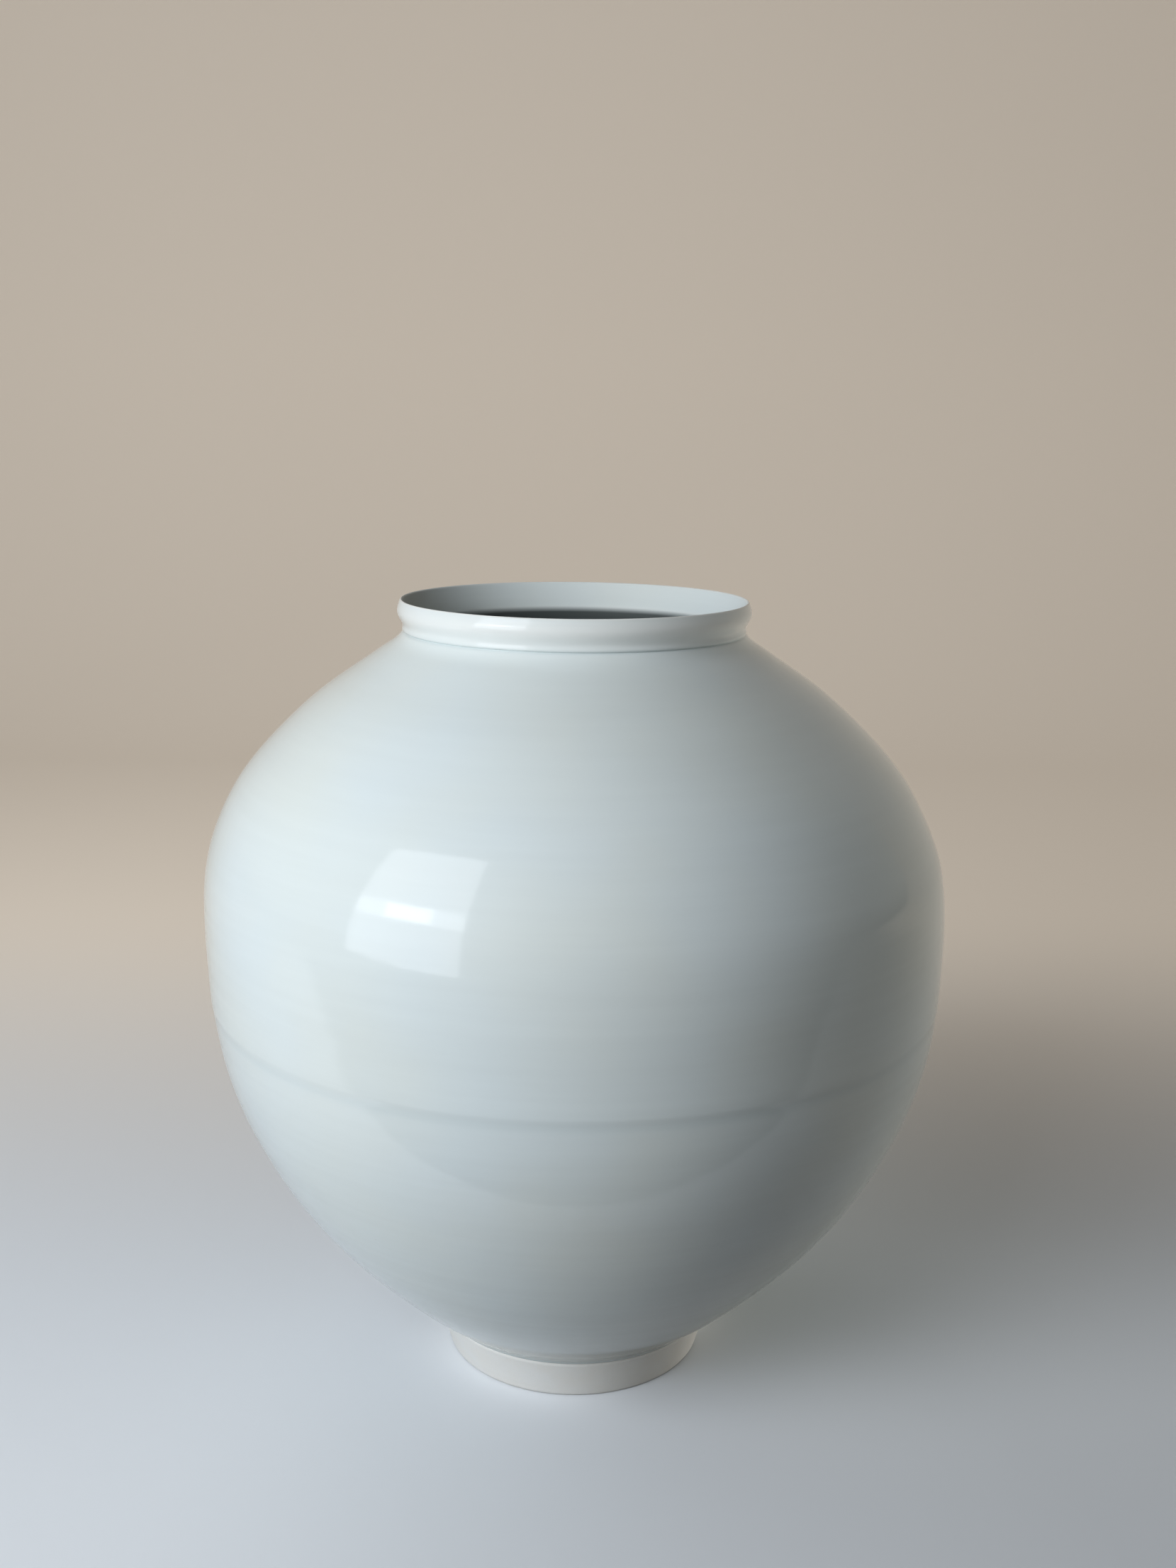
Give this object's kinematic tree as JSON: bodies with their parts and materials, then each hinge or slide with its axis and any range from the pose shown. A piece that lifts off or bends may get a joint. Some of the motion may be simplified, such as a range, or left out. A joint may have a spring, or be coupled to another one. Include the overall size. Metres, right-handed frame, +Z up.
{
  "type": "moon jar",
  "caption": "Near-spherical white porcelain jar of two joined bowls, with a low foot ring and rolled mouth.",
  "frame": {"origin": "middle of the face that the foot ring stands on", "axes": "+Z up along the jar's axis, towards the mouth; +X to the right seen from the front"},
  "size_m": [0.3785, 0.3786, 0.4],
  "materials": {
    "glaze": "glossy",
    "bare_porcelain": "matte",
    "clay_body": "matte"
  },
  "bodies": {
    "root": {"foot_ring": "bare_porcelain", "foot_luting_slip": "clay_body", "lower_bowl": "clay_body", "belly_luting_slip": "clay_body", "inner_seam_coil": "clay_body", "upper_bowl": "clay_body", "neck_luting_slip": "clay_body", "mouth_collar": "clay_body", "outer_glaze": "glaze", "inner_glaze": "glaze", "foot_well_glaze": "glaze"}
  },
  "joints": []
}
